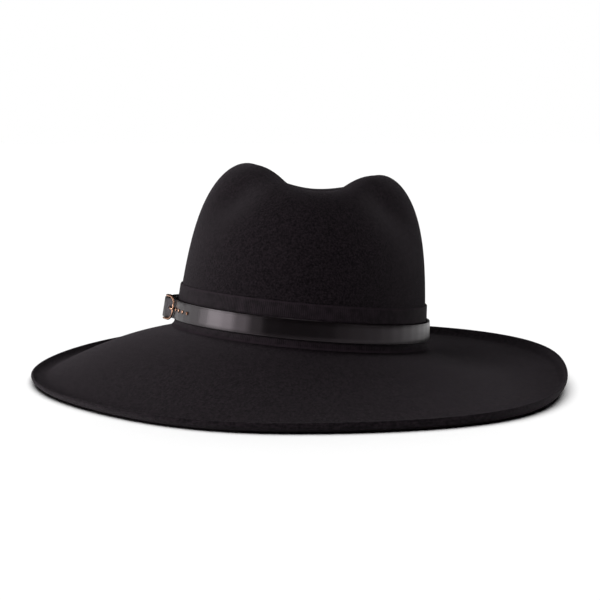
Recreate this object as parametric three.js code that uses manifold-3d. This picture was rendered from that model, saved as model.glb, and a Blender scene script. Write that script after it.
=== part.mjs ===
// A wide-brim felt hat with a creased crown, a rolled brim edge, a ribbon and a narrow buckled strap.
// Millimetres, +Z up, standing on z = 0. The front faces -Y and the wearer's left is +X.
import * as THREE from 'three';
import { mergeVertices } from 'three/addons/utils/BufferGeometryUtils.js';
import Module from 'manifold-3d';

const wasm = await Module();
wasm.setup();

// Driving dimensions. The felt's sizes are those of the middle of its wall.
const gap = 0.3;
const felt = { thickness: 2.2, azimuthSteps: 54 };
const crown = {
  halfWidth: 84.6,
  halfLength: 102.8,
  foot: new THREE.Vector3(1.3, -1.9, 28),
  leanToLeft: 5.2,
  leanToBack: 4.2,
  creaseHeight: 89,
  shoulderHeightPower: 3.7,
  shoulderInwardPower: 1.08,
  wallTaper: 0.2,
};
const pinch = { depth: 10.5, angle: 46, angleSpread: 17, height: 94, heightSpread: 15, drop: 0.3 };
const brim = {
  halfWidth: 183.6,
  halfLength: 203.4,
  centre: new THREE.Vector2(-0.5, 0),
  footBlend: 4.8,
  rollRadius: 6.4,
  rollTurn: 95,
  pressedFlat: 0.35,
};
const ribbon = { bottom: 1.4, top: 30.3, thickness: 0.8 };
const strap = {
  middleHeight: 13.3,
  width: 13.4,
  thickness: 1.8,
  chamfer: 0.4,
  tailLength: 58,
  tipLength: 8,
  tipNarrowing: 0.93,
};
const buckle = { barSetForward: 3, barLift: 6, wireRadius: 0.75, halfHeight: 7.75, length: 18 };
const prong = { halfWidth: 1.1, halfThickness: 0.6, tipShare: 0.72, slotClearance: 0.35, foldSlotRadius: 3 };
const eyelet = { count: 4, first: 24.6, spacing: 8.8, holeRadius: 1.1, barrelRadius: 0.8, boreRadius: 0.5 };
const eyeletFlange = { radius: 1.35, thickness: 0.45, gap: 0.2 };

// The crown's top edge, by the angle from the front: how far out it stands and how high it is.
const rimTable = [
  { angle: 0, radius: 60, height: 101 },
  { angle: 15, radius: 58, height: 102.7 },
  { angle: 30, radius: 55, height: 107.5 },
  { angle: 47, radius: 50.5, height: 113.5 },
  { angle: 66, radius: 47.5, height: 115 },
  { angle: 90, radius: 46, height: 115 },
  { angle: 120, radius: 51.5, height: 112.5 },
  { angle: 150, radius: 62, height: 105.5 },
  { angle: 180, radius: 67, height: 100 },
];

// The brim by the azimuth from the front towards the wearer's left: its fall at the foot and the edge,
// how square the edge's outline is (2 is an ellipse) and how far the edge stands off the surface.
const brimTable = [
  { azimuth: -180, footSlope: -0.5, edgeSlope: -0.08, squareness: 2.2, lift: 0 },
  { azimuth: -135, footSlope: -0.3, edgeSlope: -0.33, squareness: 2.0, lift: 0 },
  { azimuth: -90, footSlope: -0.12, edgeSlope: -0.57, squareness: 1.9, lift: 0 },
  { azimuth: -45, footSlope: -0.3, edgeSlope: -0.41, squareness: 1.8, lift: 0 },
  { azimuth: 0, footSlope: -0.5, edgeSlope: -0.26, squareness: 2.1, lift: 0 },
  { azimuth: 45, footSlope: -0.6, edgeSlope: -0.13, squareness: 2.55, lift: 0 },
  { azimuth: 90, footSlope: -0.68, edgeSlope: 0.08, squareness: 2.4, lift: 3 },
  { azimuth: 135, footSlope: -0.68, edgeSlope: -0.08, squareness: 2.6, lift: 0 },
];

// The ribbon's lower edge stands off where the felt turns out into the brim.
const ribbonTable = [
  { height: ribbon.bottom, flare: 1.8 },
  { height: ribbon.bottom + 1, flare: 0.8 },
  { height: ribbon.bottom + 2.4, flare: 0.28 },
  { height: ribbon.bottom + 4.5, flare: 0.05 },
  { height: ribbon.top, flare: 0 },
];

// Where the rows of the felt's surface lie, as shares of the way over each stretch.
const feltShares = {
  crease: [0.26, 0.5, 0.7, 0.86],
  wall: [1, 0.985, 0.95, 0.9, 0.84, 0.77, 0.69, 0.59, 0.46, 0.31, 0.16],
  bendSteps: 3,
  brim: [0.14, 0.28, 0.42, 0.57, 0.72, 0.87, 1],
  rollSteps: 5,
};

// Lifts off the middle of the felt: the middle of one, two and three layers of strap, and the frame's
// rounded end, which lies on one layer.
const layer = strap.thickness + gap;
const single = felt.thickness / 2 + 2 * gap + ribbon.thickness + strap.thickness / 2;
const double = single + layer;
const triple = double + layer;
const frameEndLift = single + strap.thickness / 2 + 1.3 * gap + buckle.wireRadius;

const radians = THREE.MathUtils.degToRad;
const degrees = THREE.MathUtils.radToDeg;

function hermite(start, startSlope, end, endSlope, t) {
  const t2 = t * t;
  const t3 = t2 * t;
  return (
    (2 * t3 - 3 * t2 + 1) * start +
    (t3 - 2 * t2 + t) * startSlope +
    (3 * t2 - 2 * t3) * end +
    (t3 - t2) * endSlope
  );
}

// Smooth interpolation through a table's rows, one value of each row at its key, all the way round.
function readTable(keys, values, key) {
  const period = 360;
  const count = keys.length;
  const at = (i) => {
    const turn = Math.floor(i / count);
    const row = i - turn * count;
    return { key: keys[row] + turn * period, value: values[row] };
  };
  const wrapped = key - period * Math.floor((key - keys[0]) / period);
  let i = 0;
  while (at(i + 1).key <= wrapped) {
    i += 1;
  }
  const [before, start, end, after] = [at(i - 1), at(i), at(i + 1), at(i + 2)];
  const span = end.key - start.key;
  const startSlope = (span * (end.value - before.value)) / (end.key - before.key);
  const endSlope = (span * (after.value - start.value)) / (after.key - start.key);
  return hermite(start.value, startSlope, end.value, endSlope, (wrapped - start.key) / span);
}

// The rim table goes round both sides alike.
const mirroredRim = [
  ...rimTable.slice(1, -1).map((row) => ({ ...row, angle: -row.angle })),
  ...rimTable,
].sort((a, b) => a.angle - b.angle);

function rimValue(column, angle) {
  const keys = mirroredRim.map((row) => row.angle);
  const values = mirroredRim.map((row) => row[column]);
  return readTable(keys, values, angle);
}

function brimValue(column, azimuth) {
  const keys = brimTable.map((row) => row.azimuth);
  const values = brimTable.map((row) => row[column]);
  return readTable(keys, values, azimuth);
}

function steps(count, from = 0, to = 1) {
  return Array.from({ length: count + 1 }, (_, i) => from + ((to - from) * i) / count);
}

// The crown leans as one block about its foot.
const crownPlace = new THREE.Matrix4()
  .makeTranslation(crown.foot.x, crown.foot.y, crown.foot.z)
  .multiply(new THREE.Matrix4().makeRotationY(radians(crown.leanToLeft)))
  .multiply(new THREE.Matrix4().makeRotationX(radians(-crown.leanToBack)));

// Directions round the crown. Turn 0 is the wearer's left and turns run to the back.
const feltTurns = steps(felt.azimuthSteps, -Math.PI / 2, Math.PI * 1.5).slice(0, -1);

function footPoint(turn) {
  return new THREE.Vector3(crown.halfWidth * Math.cos(turn), crown.halfLength * Math.sin(turn), 0);
}

function angleFromFront(point) {
  return degrees(Math.atan2(point.x, -point.y));
}

function outward(turn) {
  const x = Math.cos(turn) / crown.halfWidth;
  const y = Math.sin(turn) / crown.halfLength;
  return new THREE.Vector3(x, y, 0).normalize();
}

function pinchDepth(angle, height) {
  const sideways = (Math.abs(angle) - pinch.angle) / pinch.angleSpread;
  const middle = pinch.height - pinch.drop * (Math.abs(angle) - pinch.angle);
  const upward = (height - middle) / pinch.heightSpread;
  return pinch.depth * Math.exp(-sideways * sideways - upward * upward);
}

// A point of the crown's wall, in the crown's own frame, at a share of the way up from the foot.
function wallPoint(turn, share) {
  const foot = footPoint(turn);
  const footRadius = foot.length();
  const angle = angleFromFront(foot);
  const rimRadius = rimValue('radius', angle);
  const height = rimValue('height', angle) * share;
  const sine = Math.min(1, share ** (crown.shoulderHeightPower / 2));
  const rounded = Math.sqrt(1 - sine * sine) ** crown.shoulderInwardPower;
  const inward = (1 - crown.wallTaper) * rounded + crown.wallTaper * (1 - share);
  const radius = rimRadius + (footRadius - rimRadius) * inward - pinchDepth(angle, height);
  return foot.multiplyScalar(radius / footRadius).setZ(height);
}

function wallPointAtHeight(turn, height) {
  return wallPoint(turn, height / rimValue('height', angleFromFront(footPoint(turn))));
}

// A point of the dished top, from its middle (0) to its rim (1).
function creasePoint(turn, share) {
  const rim = wallPoint(turn, 1);
  const rise = THREE.MathUtils.smoothstep(share, 0, 1);
  const height = THREE.MathUtils.lerp(crown.creaseHeight, rim.z, rise);
  return rim.multiplyScalar(share).setZ(height);
}

// The brim in one direction: the curve from the crown's foot to the rolled edge, and the roll itself.
function brimSection(turn) {
  const foot = footPoint(turn).applyMatrix4(crownPlace);
  const [c, s] = [Math.cos(turn), Math.sin(turn)];
  const azimuth = angleFromFront(new THREE.Vector2(c, s));
  const footSlope = brimValue('footSlope', azimuth);
  const edgeSlope = brimValue('edgeSlope', azimuth);
  const edgeAngle = Math.atan(edgeSlope);
  const tuck = felt.thickness / 2 + brim.rollRadius * (1 - Math.sin(edgeAngle));
  const squareness = brimValue('squareness', azimuth);
  const corner = (Math.abs(c) ** squareness + Math.abs(s) ** squareness) ** (-1 / squareness);
  const restHeight = felt.thickness / 2;
  const rise = brim.rollRadius * (1 - Math.cos(edgeAngle)) - brim.pressedFlat + brimValue('lift', azimuth);
  const edge = new THREE.Vector3(
    brim.centre.x + (brim.halfWidth - tuck) * c * corner,
    brim.centre.y + (brim.halfLength - tuck) * s * corner,
    restHeight + rise,
  );
  const out = new THREE.Vector3(c / brim.halfWidth, s / brim.halfLength, 0).normalize();
  const length = Math.hypot(edge.x - foot.x, edge.y - foot.y);
  const settle = (point) => point.setZ(Math.max(point.z, restHeight));

  function across(share) {
    const height = hermite(foot.z, length * footSlope, edge.z, length * edgeSlope, share);
    return settle(foot.clone().lerp(edge, share).setZ(height));
  }

  function rolled(share) {
    const angle = edgeAngle + radians(brim.rollTurn) * share;
    const forward = brim.rollRadius * (Math.sin(angle) - Math.sin(edgeAngle));
    const upward = brim.rollRadius * (Math.cos(edgeAngle) - Math.cos(angle));
    return settle(edge.clone().addScaledVector(out, forward).setZ(edge.z + upward));
  }

  return { foot, across, rolled, blendShare: brim.footBlend / length };
}

// The bend from the crown's wall into the brim.
function bendPoint(turn, share) {
  const section = brimSection(turn);
  const above = wallPointAtHeight(turn, brim.footBlend).applyMatrix4(crownPlace);
  const below = section.across(section.blendShare);
  return new THREE.QuadraticBezierCurve3(above, section.foot, below).getPoint(share);
}

// Rows of the felt's middle surface, from the dished top down the wall and out over the brim.
function feltRows() {
  const inCrown = (point) => point.applyMatrix4(crownPlace);
  const row = (pointAt) => (share) => feltTurns.map((turn) => pointAt(turn, share));
  return [
    ...feltShares.crease.map(row((turn, share) => inCrown(creasePoint(turn, share)))),
    ...feltShares.wall.map(row((turn, share) => inCrown(wallPoint(turn, share)))),
    ...steps(feltShares.bendSteps).map(row(bendPoint)),
    ...feltShares.brim.map(row((turn, share) => brimSection(turn).across(share))),
    ...steps(feltShares.rollSteps).slice(1).map(row((turn, share) => brimSection(turn).rolled(share))),
  ];
}

// One closed body through a row of rings, with its ends closed by a point each or joined in a loop.
function loft(rings, ends) {
  const size = rings[0].length;
  const points = rings.flat();
  const faces = [];
  const last = rings.length - 1;
  const strips = ends ? last : rings.length;
  for (let i = 0; i < strips; i += 1) {
    const a = i * size;
    const b = ((i + 1) % rings.length) * size;
    for (let j = 0; j < size; j += 1) {
      const k = (j + 1) % size;
      faces.push(a + j, b + j, b + k, a + j, b + k, a + k);
    }
  }
  if (ends) {
    points.push(ends.start, ends.end);
    const [start, end] = [points.length - 2, points.length - 1];
    for (let j = 0; j < size; j += 1) {
      const k = (j + 1) % size;
      faces.push(start, j, k, end, last * size + k, last * size + j);
    }
  }
  const geometry = new THREE.BufferGeometry().setFromPoints(points);
  geometry.setIndex(faces);
  return geometry;
}

// The felt: the middle surface moved half its thickness to each side, closed round the brim's lip.
function feltGeometry() {
  const rows = feltRows();
  const top = new THREE.Vector3(0, 0, crown.creaseHeight).applyMatrix4(crownPlace);
  const up = new THREE.Vector3(0, 0, 1).transformDirection(crownPlace);
  const half = felt.thickness / 2;
  const restingBelow = half + 0.001;
  const count = felt.azimuthSteps;
  const directions = rows.map((row, i) =>
    row.map((_, j) => {
      const above = i === 0 ? top : rows[i - 1][j];
      const below = rows[Math.min(i + 1, rows.length - 1)][j];
      const down = below.clone().sub(above);
      const around = row[(j + 1) % count].clone().sub(row[(j + count - 1) % count]);
      return { normal: down.clone().cross(around).normalize(), down: down.normalize() };
    }),
  );
  const offset = (side) =>
    rows.map((row, i) =>
      row.map((point, j) => {
        const moved = point.clone().addScaledVector(directions[i][j].normal, side * half);
        const rests = side < 0 && point.z < restingBelow;
        return moved.setZ(rests ? 0 : Math.max(moved.z, 0));
      }),
    );
  const lip = rows.at(-1).map((point, j) => point.clone().addScaledVector(directions.at(-1)[j].down, half));
  return loft([...offset(1), lip, ...offset(-1).reverse()], {
    start: top.clone().addScaledVector(up, half),
    end: top.clone().addScaledVector(up, -half),
  });
}

// Places on the crown's wall: distance along the band from the buckle's bar, height and lift off the felt.
const bandStart = Math.PI + Math.asin(buckle.barSetForward / crown.halfLength);
const bandCurve = new THREE.EllipseCurve(
  0,
  0,
  crown.halfWidth + single,
  crown.halfLength + single,
  bandStart,
  bandStart + 2 * Math.PI,
);
bandCurve.arcLengthDivisions = 720;
const bandLength = bandCurve.getLength();

function bandPoint(along, height, lift) {
  const share = along / bandLength - Math.floor(along / bandLength);
  const turn = bandStart + 2 * Math.PI * bandCurve.getUtoTmapping(share);
  const wall = wallPointAtHeight(turn, strap.middleHeight + height);
  return wall.addScaledVector(outward(turn), lift).applyMatrix4(crownPlace);
}

function ribbonGeometry() {
  const inside = felt.thickness / 2 + gap;
  const outer = ribbonTable.map(({ height, flare }) => ({ height, lift: inside + ribbon.thickness + flare }));
  const inner = ribbonTable.map(({ height, flare }) => ({ height, lift: inside + flare })).reverse();
  const rings = feltTurns.map((turn) =>
    [...outer, ...inner].map(({ height, lift }) =>
      wallPointAtHeight(turn, height).addScaledVector(outward(turn), lift).applyMatrix4(crownPlace),
    ),
  );
  return loft(rings);
}

// The strap's route, as places along the band (x) and lifts off the felt (y). One end is folded back
// round the buckle's bar. The strap then runs all round the crown and its tail passes over the bar.
function strapRoute() {
  const at = (along, lift) => new THREE.Vector2(along, lift);
  const foldRadius = buckle.wireRadius + gap + strap.thickness / 2;
  const overBar = buckle.barLift + foldRadius;
  const underBar = buckle.barLift - foldRadius;
  const overFold = overBar + layer;
  const turnedEnd = [at(-22, single), at(-12, single), at(-5, single + 0.3), at(0, underBar)];
  const fold = steps(8, -Math.PI / 2, Math.PI / 2)
    .slice(1, -1)
    .map((a) => at(foldRadius * Math.cos(a), buckle.barLift + foldRadius * Math.sin(a)));
  const offFold = [
    at(0, overBar),
    at(-6, overBar - 0.6),
    at(-14, double + 0.1),
    at(-23, double),
    at(-34, single + 0.1),
  ];
  const run = steps(48, -42, 22 - bandLength).map((along) => at(along, single));
  const pastBuckle = [
    at(17, single + 0.1),
    at(14.5, single + 0.6),
    at(11.5, single + 1.9),
    at(6, overFold - 1.5),
    at(1.5, overFold),
    at(-2, overFold),
    at(-8, overFold - 0.75),
    at(-16, triple + 0.1),
    at(-26, triple),
    at(-36, double + 0.1),
    at(-42, double),
  ];
  const tip = [8, 4.5, 1.5, 0].map((fromTip) => at(fromTip - strap.tailLength, double));
  const tail = [...pastBuckle, ...tip].map((place) => place.setX(place.x - bandLength));
  return [...turnedEnd, ...fold, ...offFold, ...run, ...tail];
}

function strapHalfWidth(along) {
  const fromTip = along + bandLength + strap.tailLength;
  const narrowing = Math.max(0, 1 - fromTip / strap.tipLength);
  return (strap.width / 2) * Math.sqrt(1 - strap.tipNarrowing * narrowing ** 2);
}

// A body swept along a route in the band's places. The section is a list of places across and through it.
function sweepOnBand(route, sectionAt) {
  const place = (point, normal, { across, through }) =>
    bandPoint(point.x + normal.x * through, across, point.y + normal.y * through);
  const frames = route.map((point, i) => {
    const before = route[Math.max(i - 1, 0)];
    const after = route[Math.min(i + 1, route.length - 1)];
    const ahead = after.clone().sub(before).normalize();
    return { point, normal: new THREE.Vector2(-ahead.y, ahead.x) };
  });
  const rings = frames.map(({ point, normal }) => sectionAt(point).map((spot) => place(point, normal, spot)));
  const middle = { across: 0, through: 0 };
  return loft(rings, {
    start: place(frames[0].point, frames[0].normal, middle),
    end: place(frames.at(-1).point, frames.at(-1).normal, middle),
  });
}

function strapSection(point) {
  const half = strapHalfWidth(point.x);
  const inset = half - strap.chamfer;
  const thick = strap.thickness / 2;
  const thin = thick - strap.chamfer;
  return [
    { through: thick, across: -inset },
    { through: thick, across: inset },
    { through: thin, across: half },
    { through: -thin, across: half },
    { through: -thick, across: inset },
    { through: -thick, across: -inset },
    { through: -thin, across: -half },
    { through: thin, across: -half },
  ];
}

// The prong starts round the bar, comes up through the strap and bends down over the frame's rounded end.
function prongRoute() {
  const at = (along, lift) => new THREE.Vector3(along, lift, 0);
  const ringRadius = buckle.wireRadius + gap + prong.halfThickness;
  const onFrame = frameEndLift + ringRadius;
  const ring = steps(6, 100, 300)
    .map(radians)
    .map((a) => at(ringRadius * Math.cos(a), buckle.barLift + ringRadius * Math.sin(a)));
  const shaft = [
    at(3.6, 6.1),
    at(9, 6.75),
    at(14.5, onFrame - 0.05),
    at(buckle.length + 0.1, onFrame),
    at(buckle.length + 2, 6.75),
    at(buckle.length + 3, 5.75),
  ];
  const curve = new THREE.CatmullRomCurve3([...ring, ...shaft], false, 'centripetal');
  return curve.getSpacedPoints(24).map((point) => new THREE.Vector2(point.x, point.y));
}

function prongSection(extra) {
  return (point) => {
    const towardsTip = THREE.MathUtils.smoothstep(point.x, 4, buckle.length + 3);
    const halfWidth = prong.halfWidth * THREE.MathUtils.lerp(1, prong.tipShare, towardsTip) + extra;
    const halfThickness = prong.halfThickness + extra;
    return steps(8, 0, 2 * Math.PI)
      .slice(0, -1)
      .map((a) => ({ through: halfThickness * Math.cos(a), across: halfWidth * Math.sin(a) }));
  };
}

// The frame's wire: a bar low down under the strap, two rails that slope away from it and a rounded end.
function frameGeometry() {
  const at = (along, across, lift) => new THREE.Vector3(along, across, lift);
  const half = buckle.halfHeight;
  const end = buckle.length;
  const low = buckle.barLift;
  const oneSide = [
    at(0, half - 2.4, low),
    at(0, half - 0.7, low + 0.15),
    at(0.05, half, low + 1),
    at(0.3, half, low + 3.1),
    at(1.2, half, low + 3.95),
    at(2.6, half, low + 3.85),
    at(8, half, low + 2.3),
    at(13, half - 0.35, low + 0.75),
    at(end - 1.8, half - 2.9, frameEndLift + 0.1),
    at(end - 0.35, 2.6, frameEndLift),
  ];
  const otherSide = oneSide.map((spot) => at(spot.x, -spot.y, spot.z)).reverse();
  const curve = new THREE.CatmullRomCurve3(
    [...oneSide, at(end, 0, frameEndLift), ...otherSide],
    true,
    'centripetal',
  );
  const count = 50;
  const { normals, binormals } = curve.computeFrenetFrames(count, true);
  const rings = curve.getSpacedPoints(count).slice(0, -1).map((centre, i) =>
    steps(8, 0, 2 * Math.PI).slice(0, -1).map((a) => {
      const spot = centre
        .clone()
        .addScaledVector(normals[i], -buckle.wireRadius * Math.cos(a))
        .addScaledVector(binormals[i], buckle.wireRadius * Math.sin(a));
      return bandPoint(spot.x, spot.y, spot.z);
    }),
  );
  return loft(rings);
}

// A turned body on the strap's face: its axis stands off the band at a place along it.
function placeOnStrap(geometry, along) {
  const centre = bandPoint(along, 0, single);
  const axis = bandPoint(along, 0, single + 1).sub(centre).normalize();
  const upwards = bandPoint(along, 1, single).sub(centre);
  const side = upwards.cross(axis).normalize();
  const place = new THREE.Matrix4().makeBasis(side, axis, side.clone().cross(axis));
  return geometry.applyMatrix4(place.setPosition(centre));
}

function eyeletPlace(index) {
  return eyelet.first + index * eyelet.spacing;
}

function eyeletGeometry(along) {
  const foot = -strap.thickness * 0.3;
  const seat = strap.thickness / 2 + eyeletFlange.gap;
  const top = seat + eyeletFlange.thickness;
  const profile = [
    [eyelet.boreRadius, foot],
    [eyelet.barrelRadius, foot],
    [eyelet.barrelRadius, seat],
    [eyeletFlange.radius, seat],
    [eyeletFlange.radius - 0.1, seat + 0.3],
    [eyeletFlange.radius - 0.45, top],
    [eyelet.boreRadius + 0.15, top],
    [eyelet.boreRadius, top - 0.2],
    [eyelet.boreRadius, foot],
  ].map(([radius, height]) => new THREE.Vector2(radius, height));
  return placeOnStrap(new THREE.LatheGeometry(profile, 10), along);
}

function toSolid(geometry) {
  const bare = geometry.clone();
  bare.deleteAttribute('normal');
  bare.deleteAttribute('uv');
  const merged = mergeVertices(bare, 1e-5);
  const vertProperties = new Float32Array(merged.attributes.position.array);
  const triVerts = new Uint32Array(merged.index.array);
  return new wasm.Manifold(new wasm.Mesh({ numProp: 3, vertProperties, triVerts }));
}

function fromSolid(solid) {
  const { vertProperties, triVerts } = solid.getMesh();
  const geometry = new THREE.BufferGeometry();
  geometry.setAttribute('position', new THREE.BufferAttribute(vertProperties, 3));
  geometry.setIndex(new THREE.BufferAttribute(triVerts, 1));
  return geometry;
}

// A round slot about the bar that lets the prong's ring through the fold.
function foldSlotGeometry() {
  const width = 2 * (prong.halfWidth + prong.slotClearance);
  const centre = bandPoint(0, 0, buckle.barLift);
  const alongBar = bandPoint(0, 1, buckle.barLift).sub(centre).normalize();
  const turned = new THREE.Quaternion().setFromUnitVectors(new THREE.Vector3(0, 1, 0), alongBar);
  return new THREE.CylinderGeometry(prong.foldSlotRadius, prong.foldSlotRadius, width, 24)
    .applyQuaternion(turned)
    .translate(centre.x, centre.y, centre.z);
}

// The strap with its slots for the prong and its punched holes.
function strapGeometry() {
  const cutters = [foldSlotGeometry(), sweepOnBand(prongRoute(), prongSection(prong.slotClearance))];
  for (let i = 0; i < eyelet.count; i += 1) {
    const hole = new THREE.CylinderGeometry(eyelet.holeRadius, eyelet.holeRadius, 2 * strap.thickness, 12);
    cutters.push(placeOnStrap(hole, eyeletPlace(i)));
  }
  let solid = toSolid(sweepOnBand(strapRoute(), strapSection));
  for (const cutter of cutters) {
    solid = solid.subtract(toSolid(cutter));
  }
  return fromSolid(solid);
}

const colours = {
  felt: { color: 0x1d1a1c, roughness: 0.95, metalness: 0 },
  ribbon: { color: 0x242224, roughness: 0.8, metalness: 0 },
  leather: { color: 0x141213, roughness: 0.35, metalness: 0 },
  copper: { color: 0x8a6450, roughness: 0.4, metalness: 1 },
};

const hat = new THREE.Group();

function addPiece(name, geometry, colour) {
  geometry.computeVertexNormals();
  const mesh = new THREE.Mesh(geometry, new THREE.MeshStandardMaterial(colour));
  mesh.name = name;
  hat.add(mesh);
}

addPiece('felt_body', feltGeometry(), colours.felt);
addPiece('ribbon_band', ribbonGeometry(), colours.ribbon);
addPiece('belt_strap', strapGeometry(), colours.leather);
addPiece('buckle_frame', frameGeometry(), colours.copper);
addPiece('buckle_prong', sweepOnBand(prongRoute(), prongSection(0)), colours.copper);
for (let i = 0; i < eyelet.count; i += 1) {
  addPiece(`eyelet_${i + 1}`, eyeletGeometry(eyeletPlace(i)), colours.copper);
}

export default hat;
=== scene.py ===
import math

import bpy
from mathutils import Matrix, Vector


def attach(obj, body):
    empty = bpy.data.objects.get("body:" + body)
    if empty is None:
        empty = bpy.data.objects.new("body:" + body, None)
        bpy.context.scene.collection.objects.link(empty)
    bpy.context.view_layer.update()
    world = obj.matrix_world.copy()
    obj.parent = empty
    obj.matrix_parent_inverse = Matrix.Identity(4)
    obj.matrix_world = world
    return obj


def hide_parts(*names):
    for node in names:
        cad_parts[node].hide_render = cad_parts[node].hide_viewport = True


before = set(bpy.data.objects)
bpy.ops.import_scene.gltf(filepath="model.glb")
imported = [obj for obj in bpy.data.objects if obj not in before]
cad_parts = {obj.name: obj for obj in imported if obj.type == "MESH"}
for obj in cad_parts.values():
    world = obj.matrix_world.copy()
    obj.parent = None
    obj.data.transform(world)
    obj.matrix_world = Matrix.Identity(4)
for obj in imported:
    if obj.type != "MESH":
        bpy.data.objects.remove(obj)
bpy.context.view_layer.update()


def hexColour(code):  # an sRGB hex colour as the linear one that a shader takes
    parts = [int(code[i : i + 2], 16) / 255 for i in (1, 3, 5)]
    linear = [p / 12.92 if p <= 0.04045 else ((p + 0.055) / 1.055) ** 2.4 for p in parts]
    return (*linear, 1.0)


# A setting with a number or a capital for its name is a socket's value, and the rest are the node's own.
def addNode(tree, kind, settings=None, links=None):
    node = tree.nodes.new(kind)
    for name, value in (settings or {}).items():
        if isinstance(name, int) or name[0].isupper():
            node.inputs[name].default_value = value
        else:
            setattr(node, name, value)
    for socket, source in (links or {}).items():
        tree.links.new(source, node.inputs[socket])
    return node


def newMaterial(name, surface):  # surface holds the values that are the same all over
    material = bpy.data.materials.new(name)
    material.use_nodes = True
    shader = material.node_tree.nodes["Principled BSDF"]
    for socket, value in surface.items():
        shader.inputs[socket].default_value = value
    return material, material.node_tree, shader


def setRamp(node, tones):  # each tone is its place on the ramp and its colour
    elements = node.color_ramp.elements
    while len(elements) < len(tones):
        elements.new(tones[1][0])
    for element, (position, colour) in zip(elements, tones):
        element.position = position
        element.color = hexColour(colour)


def perMetre(millimetres):  # how many times a pattern of this size fits in a metre
    return 1000 / millimetres


def onlySelect(piece):
    bpy.ops.object.select_all(action="DESELECT")
    piece.select_set(True)
    bpy.context.view_layer.objects.active = piece


# The photograph's view, found by fitting the camera to the hat's outline
camera = {
    "stand": (0.0014, -1.6434, 0.2856),
    "lookDown": 8.04,  # degrees below the horizon
    "lens": 145.4,
    "sensor": 36,
    "farthest": 30,  # metres, the end of what it sees
}


def makeCamera():
    turned = (math.radians(90 - camera["lookDown"]), 0, 0)
    bpy.ops.object.camera_add(location=camera["stand"], rotation=turned)
    eye = bpy.context.object
    eye.data.lens = camera["lens"]
    eye.data.sensor_width = camera["sensor"]
    eye.data.clip_end = camera["farthest"]
    bpy.context.scene.camera = eye


# A white table before a white wall, with softboxes for the hat alone and a lamp for the table alone.
# Azimuths are in degrees from the hat's front towards the wearer's left, and lengths in metres.
studio = {
    "tableSize": 3.4,
    "tableMiddle": (0, 0.4, 0),
    "tableColour": "#f6f6f6",
    "tableGlow": 1.03,  # how bright the bare table looks, just over white
    "tableLampStand": (0, 1, 2),
    "tableLampAngle": 70,  # degrees across, for a soft shadow
    "tableLampTilt": 30,  # degrees, a little from behind, so that a thin shadow shows in front
    "wallColour": "#ffffff",
    "aimHeight": 0.06,  # where all the softboxes point
    "boxes": {
        "mainFront": {"azimuth": -26, "distance": 1.36, "height": 0.7, "size": (0.9, 0.6), "glow": 7.4},
        "keyLeft": {"azimuth": -87, "distance": 1.48, "height": 0.32, "size": (0.8, 0.6), "glow": 7.4},
        "fillLeft": {"azimuth": -61, "distance": 1.48, "height": 0.32, "size": (0.6, 0.6), "glow": 2.4},
        "rimLeft": {"azimuth": -122, "distance": 1.48, "height": 0.32, "size": (0.6, 0.6), "glow": 1.1},
        "rimRight": {"azimuth": 120, "distance": 1.48, "height": 0.36, "size": (0.6, 0.6), "glow": 4.6},
        "cardRight": {"azimuth": 56, "distance": 1.48, "height": 0.32, "size": (1.0, 0.6), "glow": 0.25},
        "overhead": {"azimuth": 0, "distance": 0.26, "height": 1.54, "size": (0.6, 0.6), "glow": 2.8},
        "backFill": {"azimuth": 180, "distance": 1.5, "height": 0.18, "size": (1.0, 0.5), "glow": 2.4},
    },
    # these don't show in gloss, as if flagged off, so that the strap's front stays dark
    "dullOnly": ("mainFront", "rimRight", "backFill"),
}

# What each set of lamps lights
lit = {name: bpy.data.collections.new(name) for name in ("hatLamps", "tableLamps")}


def addSoftbox(name, box):
    turn = math.radians(box["azimuth"])
    place = Vector((math.sin(turn) * box["distance"], -math.cos(turn) * box["distance"], box["height"]))
    bpy.ops.object.light_add(type="AREA", location=place)
    lamp = bpy.context.object
    lamp.name = name
    towards = Vector((0, 0, studio["aimHeight"])) - place
    lamp.rotation_euler = towards.to_track_quat("-Z", "Y").to_euler()
    width, depth = box["size"]
    lamp.data.shape = "RECTANGLE"
    lamp.data.size = width
    lamp.data.size_y = depth
    lamp.data.energy = box["glow"] * math.pi * width * depth  # so a larger box is no duller
    lamp.visible_camera = False
    lamp.visible_glossy = name not in studio["dullOnly"]
    lamp.light_linking.receiver_collection = lit["hatLamps"]


def makeRoom():  # the hat sees a dark room, the camera a plain white wall
    world = bpy.data.worlds.new("studioRoom")
    world.use_nodes = True
    bpy.context.scene.world = world
    tree = world.node_tree
    seen = addNode(tree, "ShaderNodeLightPath").outputs["Is Camera Ray"]
    wall = tree.nodes["Background"]
    wall.inputs["Color"].default_value = hexColour(studio["wallColour"])
    tree.links.new(seen, wall.inputs["Strength"])


def makeTable(colour):
    bpy.ops.mesh.primitive_plane_add(size=studio["tableSize"], location=studio["tableMiddle"])
    table = bpy.context.object
    table.name = "studioTable"
    matte = {"Base Color": colour, "Roughness": 1.0, "Specular IOR Level": 0.0}
    card, _, _ = newMaterial("matteWhiteCard", matte)
    table.data.materials.append(card)
    lit["tableLamps"].objects.link(table)


def lightTable(colour):
    tilt = math.radians(studio["tableLampTilt"])
    bpy.ops.object.light_add(type="SUN", location=studio["tableLampStand"], rotation=(-tilt, 0, 0))
    lamp = bpy.context.object
    lamp.name = "tableLamp"
    lamp.data.angle = math.radians(studio["tableLampAngle"])
    lamp.data.energy = math.pi * studio["tableGlow"] / colour[0] / math.cos(tilt)
    lamp.light_linking.receiver_collection = lit["tableLamps"]


def makeStudio():
    makeRoom()
    tableColour = hexColour(studio["tableColour"])
    makeTable(tableColour)
    lightTable(tableColour)
    for name, box in studio["boxes"].items():
        addSoftbox(name, box)
    bpy.context.scene.view_settings.view_transform = "Standard"


makeCamera()
makeStudio()
print("camera and studio are set")


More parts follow.
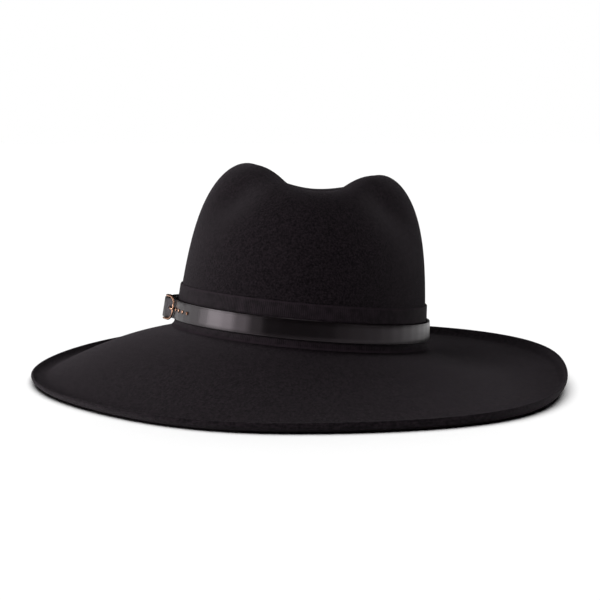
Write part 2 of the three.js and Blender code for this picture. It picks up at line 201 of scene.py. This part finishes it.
# Where the crown stands, for the patterns that run round it
crown = {
    "foot": (0.0013, -0.0019, 0.028),
    "leanToLeft": 5.2,  # degrees
    "leanToBack": 4.2,
    "meanRadius": 0.0985,  # of the ribbon and the strap
}


def crownPlace():
    lean = Matrix.Rotation(math.radians(crown["leanToLeft"]), 4, "Y")
    back = Matrix.Rotation(math.radians(-crown["leanToBack"]), 4, "X")
    return Matrix.Translation(crown["foot"]) @ lean @ back


def unrollOnCrown(piece):  # the UV map gives metres along the band and metres up from the crown's foot
    inCrown = crownPlace().inverted()
    mesh = piece.data
    while mesh.uv_layers:
        mesh.uv_layers.remove(mesh.uv_layers[0])
    uvs = mesh.uv_layers.new(name="alongBand").data
    places = [inCrown @ vertex.co for vertex in mesh.vertices]
    turns = [math.atan2(place.x, -place.y) for place in places]
    for face in mesh.polygons:
        faceTurns = [turns[vertex] for vertex in face.vertices]
        crossesSeam = max(faceTurns) - min(faceTurns) > math.pi
        for loop in face.loop_indices:
            vertex = mesh.loops[loop].vertex_index
            turn = turns[vertex]
            if crossesSeam and turn < 0:
                turn += 2 * math.pi
            uvs[loop].uv = (turn * crown["meanRadius"], places[vertex].z)


# How a copy of a CAD node becomes a piece: merged, creased and smoothed. Angles are in degrees.
refine = {
    "merge": 0.00001,  # metres
    "flatQuad": 60,  # two triangles that bend or skew less than this become a quad
    "sharpEdge": 25,  # an edge that bends more than this is creased
    "smoothAngle": 40,  # an edge that bends less than this is shaded smooth
}


def copyNode(nodeName, pieceName):
    piece = bpy.data.objects.new(pieceName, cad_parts[nodeName].data.copy())
    bpy.context.scene.collection.objects.link(piece)
    lit["hatLamps"].objects.link(piece)
    piece.data.materials.clear()
    onlySelect(piece)
    bpy.ops.mesh.customdata_custom_splitnormals_clear()
    bpy.ops.object.mode_set(mode="EDIT")
    bpy.ops.mesh.select_all(action="SELECT")
    bpy.ops.mesh.remove_doubles(threshold=refine["merge"])
    quad = math.radians(refine["flatQuad"])
    bpy.ops.mesh.tris_convert_to_quads(face_threshold=quad, shape_threshold=quad)
    bpy.ops.object.mode_set(mode="OBJECT")
    return piece


def smoothPiece(piece, levels, crease=0):  # crease is how firmly the sharp edges are kept, up to 1
    onlySelect(piece)
    if crease:
        bpy.ops.object.mode_set(mode="EDIT")
        bpy.ops.mesh.select_all(action="DESELECT")
        bpy.ops.mesh.edges_select_sharp(sharpness=math.radians(refine["sharpEdge"]))
        bpy.ops.transform.edge_crease(value=crease)
        bpy.ops.object.mode_set(mode="OBJECT")
    modifier = piece.modifiers.new("smooth", "SUBSURF")
    modifier.levels = levels
    modifier.render_levels = levels
    bpy.ops.object.modifier_apply(modifier=modifier.name)
    bpy.ops.object.shade_smooth_by_angle(angle=math.radians(refine["smoothAngle"]))


def finishPiece(piece, material, nodeName):
    piece.data.materials.append(material)
    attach(piece, "root")
    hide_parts(nodeName)


# The felt. Its fibres are drawn coarser than real ones, which are too fine to show.
felt = {
    "levels": 2,
    "surface": {
        "Roughness": 0.95,
        "Specular IOR Level": 0.1,
        "Sheen Weight": 0.09,
        "Sheen Roughness": 0.5,
        "Sheen Tint": hexColour("#d8ccd6"),
    },
    "tones": ((0.39, "#050305"), (0.63, "#1e181c")),
    "mottle": {"Scale": perMetre(3.2), "Detail": 6.0, "Roughness": 0.65},  # soft patches of matted wool
    "mottleShare": 0.25,  # how much they change the tone
    "grain": {"Scale": perMetre(1.4), "Detail": 5.0, "Roughness": 0.75},  # matted fibre, really 0.2 mm
    "fibre": {"Scale": perMetre(0.7), "Detail": 2.0, "Distortion": 1.6},  # stray ends, for the relief
    "nap": {"Scale": 1.0, "Detail": 4.0, "Roughness": 0.65},  # the brim's fibres, brushed outwards
    "strand": (1.4, 4.5),  # mm across and along, the size of the nap's strands
    "brimMiddle": 0.14,  # the radius at which a strand is that wide
    "brimTop": 0.03,  # the height at which the nap gives way to the grain
    "brimBlend": 0.01,  # and how far above and below it that takes
    "bump": {"Strength": 0.7, "Distance": 0.0004},
}


# Where the brim's nap lies: round the crown by a strand's width, and out from it by a strand's length.
# On the steep roll at the brim's edge, the height makes the strands short, or they would stretch.
def combOutwards(tree, place, height):
    across, lengthwise = (perMetre(size) for size in felt["strand"])
    vectorMath, numberMath = "ShaderNodeVectorMath", "ShaderNodeMath"
    flat = addNode(tree, vectorMath, {"operation": "MULTIPLY", 1: (1, 1, 0)}, {0: place}).outputs[0]
    radius = addNode(tree, vectorMath, {"operation": "LENGTH"}, {0: flat}).outputs["Value"]
    outwards = addNode(tree, vectorMath, {"operation": "NORMALIZE"}, {0: flat}).outputs[0]
    widths = {"operation": "SCALE", "Scale": felt["brimMiddle"] * across}
    around = addNode(tree, vectorMath, widths, {0: outwards}).outputs[0]
    upTheRoll = addNode(tree, numberMath, {"operation": "MULTIPLY", 1: -across}, {0: height}).outputs[0]
    lengths = {"operation": "MULTIPLY_ADD", 1: lengthwise}
    distance = addNode(tree, numberMath, lengths, {0: radius, 2: upTheRoll}).outputs[0]
    along = addNode(tree, "ShaderNodeCombineXYZ", {}, {"Z": distance}).outputs[0]
    return addNode(tree, vectorMath, {"operation": "ADD"}, {0: around, 1: along}).outputs[0]


def mixFelt():  # pounced wool felt: no gloss, a dark heathered nap and a light fuzz at grazing angles
    material, tree, shader = newMaterial("pouncedWoolFelt", felt["surface"])
    place = addNode(tree, "ShaderNodeTexCoord").outputs["Object"]
    height = addNode(tree, "ShaderNodeSeparateXYZ", {}, {0: place}).outputs["Z"]
    combed = combOutwards(tree, place, height)
    noise = "ShaderNodeTexNoise"
    mottle = addNode(tree, noise, felt["mottle"], {"Vector": place}).outputs["Fac"]
    grain = addNode(tree, noise, felt["grain"], {"Vector": place}).outputs["Fac"]
    fibre = addNode(tree, noise, felt["fibre"], {"Vector": place}).outputs["Fac"]
    nap = addNode(tree, noise, felt["nap"], {"Vector": combed}).outputs["Fac"]
    lowest, highest = felt["brimTop"] - felt["brimBlend"], felt["brimTop"] + felt["brimBlend"]
    fade = {"From Min": lowest, "From Max": highest, "To Min": 1.0, "To Max": 0.0}
    onBrim = addNode(tree, "ShaderNodeMapRange", fade, {"Value": height}).outputs["Result"]
    speckle = addNode(tree, "ShaderNodeMix", {}, {"Factor": onBrim, "A": grain, "B": nap}).outputs[0]
    # the noise is 0.5 on average, so that the patches darken as much as they lighten
    patches = addNode(tree, "ShaderNodeMath", {"operation": "SUBTRACT", 1: 0.5}, {0: mottle}).outputs[0]
    share = {"operation": "MULTIPLY_ADD", 1: felt["mottleShare"]}
    patchy = addNode(tree, "ShaderNodeMath", share, {0: patches, 2: speckle}).outputs[0]
    tone = addNode(tree, "ShaderNodeValToRGB", {}, {"Fac": patchy})
    setRamp(tone, felt["tones"])
    tree.links.new(tone.outputs["Color"], shader.inputs["Base Color"])
    relief = addNode(tree, "ShaderNodeMath", {"operation": "ADD"}, {0: speckle, 1: fibre}).outputs[0]
    bump = addNode(tree, "ShaderNodeBump", felt["bump"], {"Height": relief})
    tree.links.new(bump.outputs["Normal"], shader.inputs["Normal"])
    return material


def makeFelt():
    piece = copyNode("felt_body", "hatFelt")
    smoothPiece(piece, felt["levels"])
    finishPiece(piece, mixFelt(), "felt_body")


makeFelt()
print("the felt is blocked")


# The grosgrain ribbon. Heights are in metres up from the crown's foot.
ribbon = {
    "levels": 2,
    "crease": 0.7,
    "bottom": 0.0014,
    "top": 0.0303,
    "surface": {
        "Roughness": 0.7,
        "Specular IOR Level": 0.08,
        "Sheen Weight": 0.03,
        "Sheen Roughness": 0.5,
        "Sheen Tint": hexColour("#c9b8c4"),
    },
    "tones": ((0.3, "#120e11"), (0.75, "#231c21")),
    "rib": 1.3,  # mm, twice the real 0.65 so that it shows
    "paintedRibShade": 0.12,  # painted shade in the hollows between ribs, painted light on their crowns
    "wear": {"Scale": perMetre(5), "Detail": 3.0},  # patches where it was rubbed
    "selvedge": 0.0012,  # the firm woven edge
    "selvedgeLift": 1.5,  # how far it stands up, where a rib stands up 1
    "paintedSelvedgeHighlight": 0.12,  # painted highlight: how much the selvedge's lift lightens the tone
    "bump": {"Strength": 0.4, "Distance": 0.0002},
}


def bandMask(tree, height, low, high):  # 1 where the height lies between the two, and 0 elsewhere
    above = addNode(tree, "ShaderNodeMath", {"operation": "GREATER_THAN", 1: low}, {0: height}).outputs[0]
    below = addNode(tree, "ShaderNodeMath", {"operation": "LESS_THAN", 1: high}, {0: height}).outputs[0]
    return addNode(tree, "ShaderNodeMath", {"operation": "MULTIPLY"}, {0: above, 1: below}).outputs[0]


def mixGrosgrain():  # woven rayon ribbon: upright ribs, a dull satin light and a firmer edge
    material, tree, shader = newMaterial("ribbedGrosgrain", ribbon["surface"])
    unrolled = addNode(tree, "ShaderNodeUVMap", {"uv_map": "alongBand"}).outputs["UV"]
    parts = addNode(tree, "ShaderNodeSeparateXYZ", {}, {0: unrolled})
    repeat = {"operation": "MULTIPLY", 1: 2 * math.pi * perMetre(ribbon["rib"])}
    phase = addNode(tree, "ShaderNodeMath", repeat, {0: parts.outputs["X"]}).outputs[0]
    ribs = addNode(tree, "ShaderNodeMath", {"operation": "SINE"}, {0: phase}).outputs[0]
    low, high = ribbon["bottom"] + ribbon["selvedge"], ribbon["top"] - ribbon["selvedge"]
    inside = bandMask(tree, parts.outputs["Y"], low, high)
    weave = addNode(tree, "ShaderNodeMath", {"operation": "MULTIPLY"}, {0: ribs, 1: inside}).outputs[0]
    lift = {"operation": "MULTIPLY_ADD", 1: -ribbon["selvedgeLift"], 2: ribbon["selvedgeLift"]}
    lifted = addNode(tree, "ShaderNodeMath", lift, {0: inside}).outputs[0]
    height = addNode(tree, "ShaderNodeMath", {"operation": "ADD"}, {0: weave, 1: lifted}).outputs[0]
    wear = addNode(tree, "ShaderNodeTexNoise", ribbon["wear"], {"Vector": unrolled}).outputs["Fac"]
    # painted shade and light: the tone is darker in the hollows between the ribs and lighter on their
    # crowns, added to the wear
    paintedRibShade = {"operation": "MULTIPLY_ADD", 1: ribbon["paintedRibShade"]}
    shade = addNode(tree, "ShaderNodeMath", paintedRibShade, {0: ribs, 2: wear}).outputs[0]
    # painted highlight: the raised selvedge is drawn lighter than the rest of the ribbon
    edgeShare = {"operation": "MULTIPLY_ADD", 1: ribbon["paintedSelvedgeHighlight"]}
    wearAndPaintedLight = addNode(tree, "ShaderNodeMath", edgeShare, {0: lifted, 2: shade}).outputs[0]
    tone = addNode(tree, "ShaderNodeValToRGB", {}, {"Fac": wearAndPaintedLight})
    setRamp(tone, ribbon["tones"])
    tree.links.new(tone.outputs["Color"], shader.inputs["Base Color"])
    bump = addNode(tree, "ShaderNodeBump", ribbon["bump"], {"Height": height})
    tree.links.new(bump.outputs["Normal"], shader.inputs["Normal"])
    return material


def makeRibbon():
    piece = copyNode("ribbon_band", "grosgrainRibbon")
    smoothPiece(piece, ribbon["levels"], ribbon["crease"])
    unrollOnCrown(piece)
    finishPiece(piece, mixGrosgrain(), "ribbon_band")


makeRibbon()
print("the ribbon is on")


# The leather strap
strap = {
    "levels": 2,
    "crease": 0.55,
    "middle": 0.0133,  # metres up from the crown's foot
    "width": 0.0134,
    "surface": {"IOR": 1.5, "Specular IOR Level": 0.42, "Specular Tint": hexColour("#ffeef8")},
    "tones": ((0.35, "#050304"), (0.7, "#0b0809")),
    "handled": {"Scale": perMetre(18), "Detail": 4.0},  # patches where it was handled
    "pores": {"Scale": perMetre(0.9)},  # coarser than the real 0.1 mm so that they show
    "poreBump": {"Strength": 0.1, "Distance": 0.00006},
    "drag": (40, 0.9),  # mm along and across, the marks that the glazing leaves
    "dragNoise": {"Scale": 1.0, "Detail": 3.0},
    "dragBump": {"Strength": 0.05, "Distance": 0.00008},
    # how the drag marks change the roughness
    "gloss": {"From Min": 0.3, "From Max": 0.7, "To Min": 0.3, "To Max": 0.35},
    "line": 0.0013,  # the creased line's distance from the edge
    "lineWidth": 0.0005,  # twice the real one, so that it shows
    "lineBump": {"Strength": 0.7, "Distance": 0.00015, "invert": True},
}


def mixLeather():  # drum-dyed calf, glazed: a smooth semi-gloss face with a line creased along each edge
    material, tree, shader = newMaterial("glazedCalf", strap["surface"])
    unrolled = addNode(tree, "ShaderNodeUVMap", {"uv_map": "alongBand"}).outputs["UV"]
    height = addNode(tree, "ShaderNodeSeparateXYZ", {}, {0: unrolled}).outputs["Y"]
    place = addNode(tree, "ShaderNodeTexCoord").outputs["Object"]
    pores = addNode(tree, "ShaderNodeTexVoronoi", strap["pores"], {"Vector": place}).outputs["Distance"]
    handled = addNode(tree, "ShaderNodeTexNoise", strap["handled"], {"Vector": place}).outputs["Fac"]
    along, across = (perMetre(size) for size in strap["drag"])
    stretch = {"operation": "MULTIPLY", 1: (along, across, 0)}
    drawn = addNode(tree, "ShaderNodeVectorMath", stretch, {0: unrolled}).outputs[0]
    marks = addNode(tree, "ShaderNodeTexNoise", strap["dragNoise"], {"Vector": drawn}).outputs["Fac"]
    centred = {"operation": "SUBTRACT", 1: strap["middle"]}
    offMiddle = addNode(tree, "ShaderNodeMath", centred, {0: height}).outputs[0]
    fromMiddle = addNode(tree, "ShaderNodeMath", {"operation": "ABSOLUTE"}, {0: offMiddle}).outputs[0]
    lineAt = strap["width"] / 2 - strap["line"]
    halfLine = strap["lineWidth"] / 2
    creased = bandMask(tree, fromMiddle, lineAt - halfLine, lineAt + halfLine)
    tone = addNode(tree, "ShaderNodeValToRGB", {}, {"Fac": handled})
    setRamp(tone, strap["tones"])
    tree.links.new(tone.outputs["Color"], shader.inputs["Base Color"])
    gloss = addNode(tree, "ShaderNodeMapRange", strap["gloss"], {"Value": marks})
    tree.links.new(gloss.outputs["Result"], shader.inputs["Roughness"])
    normal = addNode(tree, "ShaderNodeBump", strap["poreBump"], {"Height": pores}).outputs["Normal"]
    for bump, relief in ((strap["dragBump"], marks), (strap["lineBump"], creased)):
        pressed = addNode(tree, "ShaderNodeBump", bump, {"Height": relief, "Normal": normal})
        normal = pressed.outputs["Normal"]
    tree.links.new(normal, shader.inputs["Normal"])
    return material


def makeStrap():
    piece = copyNode("belt_strap", "leatherStrap")
    smoothPiece(piece, strap["levels"], strap["crease"])
    unrollOnCrown(piece)
    finishPiece(piece, mixLeather(), "belt_strap")


makeStrap()
print("the strap is on")


# The buckle and the eyelets
metal = {
    "levels": 2,
    "eyeletCount": 4,
    "eyeletCrease": 0.5,
    "surface": {"Metallic": 1.0},
    "tones": ((0.26, "#2a1a14"), (0.4, "#9c6e58"), (0.55, "#dcab8f")),  # patina, worn and bright
    "blotches": {"Scale": perMetre(2.2), "Detail": 5.0},
    # how the blotches change the roughness
    "gloss": {"From Min": 0.3, "From Max": 0.65, "To Min": 0.5, "To Max": 0.24},
    "bump": {"Strength": 0.2, "Distance": 0.00005},
}


def mixCopper():  # copper plate, darkened in a bath and rubbed back: bright, with dull dark patches left
    material, tree, shader = newMaterial("antiquedCopper", metal["surface"])
    place = addNode(tree, "ShaderNodeTexCoord").outputs["Object"]
    blotches = addNode(tree, "ShaderNodeTexNoise", metal["blotches"], {"Vector": place}).outputs["Fac"]
    tone = addNode(tree, "ShaderNodeValToRGB", {}, {"Fac": blotches})
    setRamp(tone, metal["tones"])
    tree.links.new(tone.outputs["Color"], shader.inputs["Base Color"])
    gloss = addNode(tree, "ShaderNodeMapRange", metal["gloss"], {"Value": blotches})
    tree.links.new(gloss.outputs["Result"], shader.inputs["Roughness"])
    bump = addNode(tree, "ShaderNodeBump", metal["bump"], {"Height": blotches})
    tree.links.new(bump.outputs["Normal"], shader.inputs["Normal"])
    return material


def makeBuckle(copper):
    for nodeName, pieceName in (("buckle_frame", "buckleFrame"), ("buckle_prong", "bucklePin")):
        piece = copyNode(nodeName, pieceName)
        smoothPiece(piece, metal["levels"])
        finishPiece(piece, copper, nodeName)


def makeEyelets(copper):
    for number in range(1, metal["eyeletCount"] + 1):
        piece = copyNode(f"eyelet_{number}", f"eyelet{number}")
        smoothPiece(piece, metal["levels"], metal["eyeletCrease"])
        finishPiece(piece, copper, f"eyelet_{number}")


copper = mixCopper()
makeBuckle(copper)
makeEyelets(copper)
print("the buckle is fastened")
